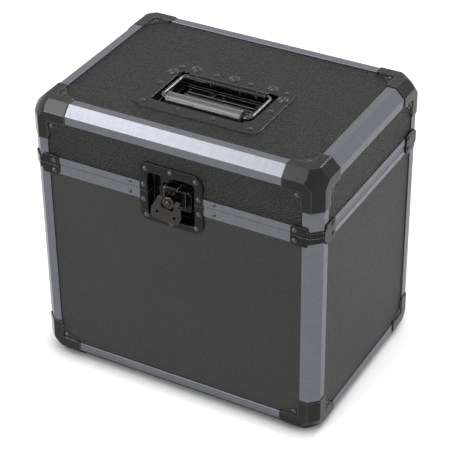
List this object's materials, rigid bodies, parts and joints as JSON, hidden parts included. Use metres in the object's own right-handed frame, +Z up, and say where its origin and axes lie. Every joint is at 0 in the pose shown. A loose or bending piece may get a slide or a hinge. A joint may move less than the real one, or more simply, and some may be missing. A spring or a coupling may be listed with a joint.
{
  "type": "record carrying case",
  "caption": "Upright record carrying case with metal-edged black panels, domed corner caps, a deep hinged lid, a recessed turn latch and a recessed handle in the top.",
  "frame": {"origin": "On the surface that the case stands on, under the middle of its whole outline.", "axes": "+X runs along the front to the right, +Y from the front with the latch to the back with the hinges, +Z up."},
  "size_m": [0.3872, 0.2904, 0.3706],
  "materials": {
    "panel_laminate": "black laminate with a fine pebble grain",
    "edge_metal": "dark brushed anodised aluminium",
    "cap_metal": "gloss black on pressed steel",
    "bracket_metal": "satin black on pressed steel",
    "black_steel": "satin black on pressed steel",
    "hub_metal": "polished black over steel",
    "bail_metal": "gloss black on steel wire",
    "grip_rubber": "smooth black rubber",
    "hinge_metal": "satin black on steel",
    "rivet_metal": "satin black",
    "pad_foam": "dark open foam"
  },
  "bodies": {
    "base": {"base_back_panel": "panel_laminate", "base_bottom_rail_back": "edge_metal", "base_bottom_rail_front": "edge_metal", "base_bottom_rail_left": "edge_metal", "base_bottom_rail_right": "edge_metal", "base_cap_back_left": "cap_metal", "base_cap_back_right": "cap_metal", "base_cap_front_left": "cap_metal", "base_cap_front_right": "cap_metal", "base_floor_panel": "panel_laminate", "base_front_panel": "panel_laminate", "base_left_panel": "panel_laminate", "base_post_back_left": "edge_metal", "base_post_back_right": "edge_metal", "base_post_front_left": "edge_metal", "base_post_front_right": "edge_metal", "base_right_panel": "panel_laminate", "base_rivets": "rivet_metal", "base_seam_brackets": "bracket_metal", "base_seam_rail_back": "edge_metal", "base_seam_rail_front": "edge_metal", "base_seam_rail_left": "edge_metal", "base_seam_rail_right": "edge_metal", "floor_pad": "pad_foam", "hinge_leaves_base": "hinge_metal", "hinge_pins": "hinge_metal", "latch_bearing": "black_steel", "latch_dish_lower": "black_steel"},
    "lid": {"lid_back_panel": "panel_laminate", "lid_cap_back_left": "cap_metal", "lid_cap_back_right": "cap_metal", "lid_cap_front_left": "cap_metal", "lid_cap_front_right": "cap_metal", "lid_front_panel": "panel_laminate", "lid_left_panel": "panel_laminate", "lid_pad": "pad_foam", "lid_post_back_left": "edge_metal", "lid_post_back_right": "edge_metal", "lid_post_front_left": "edge_metal", "lid_post_front_right": "edge_metal", "lid_right_panel": "panel_laminate", "lid_rivets": "rivet_metal", "lid_seam_brackets": "bracket_metal", "lid_seam_rail_back": "edge_metal", "lid_seam_rail_front": "edge_metal", "lid_seam_rail_left": "edge_metal", "lid_seam_rail_right": "edge_metal", "lid_top_panel": "panel_laminate", "lid_top_rail_back": "edge_metal", "lid_top_rail_front": "edge_metal", "lid_top_rail_left": "edge_metal", "lid_top_rail_right": "edge_metal", "latch_dish_upper": "black_steel", "handle_dish": "black_steel", "hinge_leaves_lid": "hinge_metal"},
    "handle": {"handle_bail": "bail_metal", "handle_grip": "grip_rubber"},
    "latch_hub": {"latch_hub": "hub_metal"},
    "latch_wing": {"latch_wing": "black_steel"},
    "latch_claw": {"latch_claw": "black_steel"}
  },
  "joints": [
    {"name": "lid_hinge", "type": "hinge", "parent": "base", "child": "lid", "pos_m": [0, 0.14166, 0.2842], "axis": [-1, 0, 0], "range_deg": [0, 105]},
    {"name": "handle_lift", "type": "hinge", "parent": "lid", "child": "handle", "pos_m": [0, 0.00401, 0.3622], "axis": [-1, 0, 0], "range_deg": [0, 92]},
    {"name": "latch_turn", "type": "hinge", "parent": "base", "child": "latch_hub", "pos_m": [0, -0.13259, 0.282], "axis": [0, -1, 0], "range_deg": [0, 180]},
    {"name": "wing_fold", "type": "hinge", "parent": "latch_hub", "child": "latch_wing", "pos_m": [0, -0.13859, 0.282], "axis": [-0.9903, 0, 0.1392], "range_deg": [0, 70]},
    {"name": "claw_lift", "type": "slide", "parent": "base", "child": "latch_claw", "axis": [0, 0, 1], "range_m": [0, 0.0061]}
  ],
  "couplings": [
    {"joint": "claw_lift", "follows": "latch_turn", "m_per_rad": 0.0019099}
  ]
}
